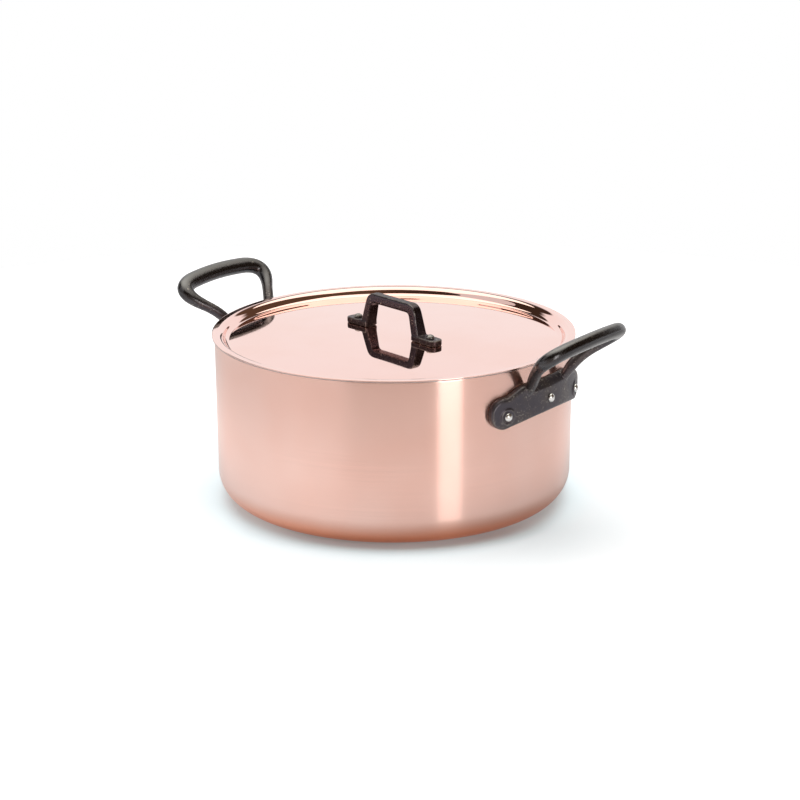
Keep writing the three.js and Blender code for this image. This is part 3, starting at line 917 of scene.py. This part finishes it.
lid_bow = new_object("lid_bow", [])
parts = bmesh.new()
bow_upright = Matrix.Translation((0, bow_foot_depth / 2, 0)) @ Matrix.Rotation(math.pi / 2, 4, "X")
foot_slope = Matrix.Rotation(math.atan2(foot_drop, foot_length), 4, "Y")
foot_place = Matrix.Translation((bow_foot_half, 0, bow_base)) @ foot_slope
bow_slab = bevelled_slab(bow_outline(), bow_foot_depth, bow_bevel)
for corner in bow_slab.verts:
    narrowed = mix(1, bow_top_depth / bow_foot_depth, (corner.co.y - bow_base) / bow_height)
    corner.co.z = bow_foot_depth / 2 + (corner.co.z - bow_foot_depth / 2) * narrowed
slabs = [
    (bow_slab, bow_upright),
    (bevelled_slab(foot_outline(), foot_thickness, foot_bevel), foot_place),
    (
        bevelled_slab(foot_outline(), foot_thickness, foot_bevel),
        Matrix.Rotation(math.pi, 4, "Z") @ foot_place,
    ),
]
for slab, place in slabs:
    slab.transform(Matrix.Rotation(lid_turn, 4, "Z") @ place)
    shape = bpy.data.meshes.new("slab")
    slab.to_mesh(shape)
    slab.free()
    parts.from_mesh(shape)
    bpy.data.meshes.remove(shape)
parts.to_mesh(lid_bow.data)
parts.free()
bow_iron = iron_finish(
    "bow_iron",
    dark=(0.06, 0.045, 0.056, 1),
    brown=(0.085, 0.06, 0.06, 1),
    polished=(0.07, 0.055, 0.066, 1),
    # The colour of faces that point up: partly wear, partly a painted sheen.
    worn_and_sheen_colour=(0.1, 0.085, 0.09, 1),
    held_from=bow_base,
)
cast(lid_bow, bow_grid, bow_rounds, bow_iron)
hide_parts("lid_bow_handle")
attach(lid_bow, "lid")

# Lid rivets: two stainless steel rivets, driven up through the lid and the feet of its handle.
# Their steel is greyer and darker than that of the side rivets, which keeps the overhead lamp's
# reflection in them dim.

lid_rivet_foot = panel_top(lid_rivet_place) - lid_stack - seat_gap
seat_drop = foot_drop * (lid_rivet_place - bow_foot_half) / foot_length
lid_rivet_grip = bow_base - seat_drop + foot_thickness + seat_gap - lid_rivet_foot
lid_axis = Vector((math.cos(lid_turn), math.sin(lid_turn), 0)) * lid_rivet_place
lid_holes = [way * lid_axis + Vector((0, 0, lid_rivet_foot)) for way in (-1, 1)]
dull_steel, spot = new_finish("dull_steel")
dents = grain(spot, 700.0, 3.0)
rivet_grey = (0.34, 0.325, 0.31, 1)
rivet_dark = (0.16, 0.15, 0.145, 1)
lay(
    spot,
    {
        "Base Color": blend(ramp(dents, 0.4, 0.7), rivet_grey, rivet_dark),
        "Metallic": 1.0,
        "Roughness": 0.22 + 0.2 * dents,
        "Normal": spot.node(
            "ShaderNodeBump", {"Strength": 0.4, "Distance": 0.0004, "Height": dents}
        ),
    },
)
lid_rivets = riveted("lid_handle_rivets", lid_holes, [(0, 0, 1)] * 2, lid_rivet_grip, dull_steel)
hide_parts("lid_handle_rivet_1", "lid_handle_rivet_2")
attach(lid_rivets, "lid")

# Camera: a long lens that looks down on the pot from the front right, a little above the lid.
# One side handle is near and the other one is far, and the frame leaves room all round.

camera_turn = math.radians(36.28)
camera_distance = 1.5186
camera_height = 0.5319
aim_right = 0.00417
aim_height = 0.06515
camera_roll = math.radians(0.151)
camera_lens = 103.84
sensor_width = 36
view_end = 50
to_camera = Vector((math.sin(camera_turn), -math.cos(camera_turn), 0))
to_right = Vector((math.cos(camera_turn), math.sin(camera_turn), 0))
camera_data = bpy.data.cameras.new("camera")
camera_data.sensor_width = sensor_width
camera_data.lens = camera_lens
camera_data.clip_end = view_end
camera = bpy.data.objects.new("camera", camera_data)
bpy.context.scene.collection.objects.link(camera)
bpy.context.scene.camera = camera
camera_spot = to_camera * camera_distance + Vector((0, 0, camera_height))
forward = (to_right * aim_right + Vector((0, 0, aim_height)) - camera_spot).normalized()
level_right = forward.cross(Vector((0, 0, 1))).normalized()
level_up = level_right.cross(forward)
camera_right = level_right * math.cos(camera_roll) - level_up * math.sin(camera_roll)
camera_up = level_right * math.sin(camera_roll) + level_up * math.cos(camera_roll)
axes = Matrix((camera_right, camera_up, -forward)).transposed()
camera.matrix_world = Matrix.Translation(camera_spot) @ axes.to_4x4()

# Studio: a pale table, a white backdrop behind it and a dim room on the camera's side. A wide lamp hangs
# over the table, a second one stands on the left, and a narrow upright one on the right.

# The table's own glow is white where the camera looks and in the copper, with painted shadow and painted
# tints round the pot's foot.
table_radius = 0.75
table_sides = 96
table_drop = 0.0002
table_white = (0.78, 0.8, 0.86, 1)
painted_cool_by_foot = (0.64, 0.8, 0.91, 1)
painted_warm_shade = (0.71, 0.64, 0.64, 1)
shade_cool = (0.84, 0.97, 1, 1)
full_white = (1, 1, 1, 1)
no_light = (0, 0, 0, 1)
# Ranges and levels of the painted shadow that the table's glow leaves round the pot's foot.
foot_shade = (0.111, 0.136)
open_table = (0.13, 0.24)
front_shade_range = (0.22, 0.38)
open_light = 0.57
open_gain = 0.13
# Spots where the table's painted shadow is deeper, to the front right of the pot.
shade_spot = 0.128 * (to_camera + to_right).normalized()
wide_shade_spot = 0.19 * (to_camera + 1.2 * to_right).normalized()
table_with_painted_shadow, spot = new_finish("table_white")
sight = spot.node("ShaderNodeLightPath", output="Is Camera Ray")
mirrored = spot.node("ShaderNodeLightPath", output="Is Glossy Ray")
away = spot.node("ShaderNodeVectorMath", {0: spot}, output="Value", operation="LENGTH")
beyond = spot.node(
    "ShaderNodeVectorMath", {0: spot, 1: shade_spot}, output="Value", operation="DISTANCE"
)
around = spot.node(
    "ShaderNodeVectorMath", {0: spot, 1: wide_shade_spot}, output="Value", operation="DISTANCE"
)
rightwards = spot.node(
    "ShaderNodeVectorMath", {0: spot, 1: to_right}, output="Value", operation="DOT_PRODUCT"
)
ahead = spot.node(
    "ShaderNodeVectorMath", {0: spot, 1: to_camera}, output="Value", operation="DOT_PRODUCT"
)
# The table's colour is painted cool by the pot's foot, against the copper's reddish bounce light, and
# painted darker and warm towards the camera, a painted falloff of light that the copper reflects.
tint = blend(ramp(away, 0.1, 0.24), painted_cool_by_foot, table_white)
tint = blend(ramp(ahead, *front_shade_range), tint, painted_warm_shade)
white = spot.node("ShaderNodeBsdfDiffuse", {"Color": tint})
# Where the camera looks, the table glows white with a painted shadow round the pot's foot, darker in
# front and spreading to the front right.
aside = spot.sum("ABSOLUTE", rightwards, 0.0)
reach = away + ramp(aside, 0.095, 0.13, 0.0, 0.008)
foot = ramp(ahead, 0.06, 0.112, 0.27, 0.11)
shaded = foot + (open_light - foot) * ramp(reach, *foot_shade)
shaded = shaded + ramp(reach, *open_table, 0.0, open_gain)
shaded = shaded + ramp(beyond, 0.0, 0.06, -0.06, 0.0) + ramp(ahead, *front_shade_range, 0.0, 0.2)
shaded = shaded + ramp(around, 0.0, 0.14, -0.19, 0.0)
# The glow that the copper reflects of the table carries painted shade: darker close to the foot, most on
# the right, and darker further off, to the right and behind the pot.
mirrored = mirrored * ramp(away, 0.2, 0.44, 0.86, 0.17) * ramp(rightwards, -0.25, 0.25, 1.0, 0.7)
mirrored = mirrored * ramp(ahead, 0.0, 0.22, 0.74, 1.0)
close = ramp(away, 0.114, 0.13) * ramp(away, 0.125, 0.22, 0.25, 0.0)
near = away + ramp(rightwards, -0.12, 0.0, 0.014, 0.0)
mirrored_painted_shade = ramp(near, *foot_shade, 0.16, open_light) + ramp(away, *open_table, 0.0, open_gain)
mirrored_painted_shade = mirrored_painted_shade - close * ramp(rightwards, -0.12, 0.12, 0.4, 1.7)
# Where the camera looks, the painted shadow by the foot gets a painted cool cast against the copper's
# reddish bounce light.
cool = blend(sight * ramp(away, 0.145, 0.12), full_white, shade_cool)
light = blend(sight * shaded + mirrored * mirrored_painted_shade, no_light, cool)
glow = spot.node("ShaderNodeEmission", {"Color": light})
surface = spot.node("ShaderNodeAddShader", {0: white, 1: glow})
spot.node("ShaderNodeOutputMaterial", {"Surface": surface})
table_points = [
    (table_radius * math.cos(t), table_radius * math.sin(t), -table_drop)
    for t in np.linspace(0, math.tau, table_sides, endpoint=False)
]
table = new_object("table", table_points, [], [tuple(range(table_sides))])
table.data.materials.append(table_with_painted_shadow)

room_dark = (0.1, 0.062, 0.038, 1)
room_darker = (0.045, 0.027, 0.018, 1)
room_dim = (0.42, 0.35, 0.31, 1)
room_grey = (0.2, 0.2, 0.21, 1)
world = bpy.data.worlds.new("studio")
bpy.context.scene.world = world
world.use_nodes = True
world.node_tree.nodes.clear()
look = Shade(world.node_tree).node("ShaderNodeTexCoord", output="Generated")
front = look.node(
    "ShaderNodeVectorMath", {0: look, 1: to_camera}, output="Value", operation="DOT_PRODUCT"
)
side = look.node(
    "ShaderNodeVectorMath", {0: look, 1: to_right}, output="Value", operation="DOT_PRODUCT"
)
above = look.node("ShaderNodeSeparateXYZ", {0: look}, output="Z")
sideways = look.sum("ABSOLUTE", side, 0.0)
backdrop = ramp(above + 0.57 * front, 0.03, -0.03) * ramp(sideways + 1.3 * front, 0.18, -0.1)
dark = blend(ramp(side, -0.3, 0.3), room_darker, room_dark)
dark = blend(ramp(front, 0.0, -0.3) * ramp(sideways, 0.3, 0.15), dark, room_grey)
dark = blend(ramp(above, 0.45, 0.33) * ramp(front, 0.2, 0.6), dark, room_dim)
high_room = blend(backdrop, dark, full_white)
low_room = blend(ramp(front, 0.94, 0.8), room_dim, full_white)
horizon = above + ramp(side, 0.5, 0.85, 0.0, 0.12)
room = blend(ramp(horizon, 0.06, 0.13), low_room, high_room)
seen = look.node("ShaderNodeLightPath", output="Is Camera Ray")
background = look.node("ShaderNodeBackground", {"Color": blend(seen, room, full_white)})
look.node("ShaderNodeOutputWorld", {"Surface": background})


def lamp(name, turn, height, distance, size, brightness, colour):
    """A soft lamp that faces the pot, turned about it from the camera, to the right if positive."""
    way = to_camera * math.cos(math.radians(turn)) + to_right * math.sin(math.radians(turn))
    light = bpy.data.lights.new(name, "AREA")
    light.shape = "RECTANGLE"
    light.size, light.size_y = size
    light.color = colour
    light.energy = brightness * math.pi * size[0] * size[1]
    made = bpy.data.objects.new(name, light)
    made.location = way * distance + Vector((0, 0, height))
    aim = Vector((0, 0, pot_height / 2)) - made.location
    made.rotation_euler = aim.to_track_quat("-Z", "Y").to_euler()
    made.visible_camera = False
    bpy.context.scene.collection.objects.link(made)


lamp(
    "overhead_lamp",
    turn=180,
    height=1.25,
    distance=0.22,
    size=(1.8, 1.65),
    brightness=1.64,
    colour=(1, 0.98, 0.89),
)
lamp(
    "left_lamp",
    turn=-79.2,
    height=0.84,
    distance=1.0,
    size=(0.91, 0.75),
    brightness=0.7,
    colour=(1, 1, 1),
)
lamp(
    "strip_lamp",
    turn=33.0,
    height=0.3,
    distance=1.0,
    size=(0.26, 0.5),
    brightness=5.3,
    colour=(1, 1, 0.97),
)

scene_view = bpy.context.scene.view_settings
scene_view.view_transform = "Standard"
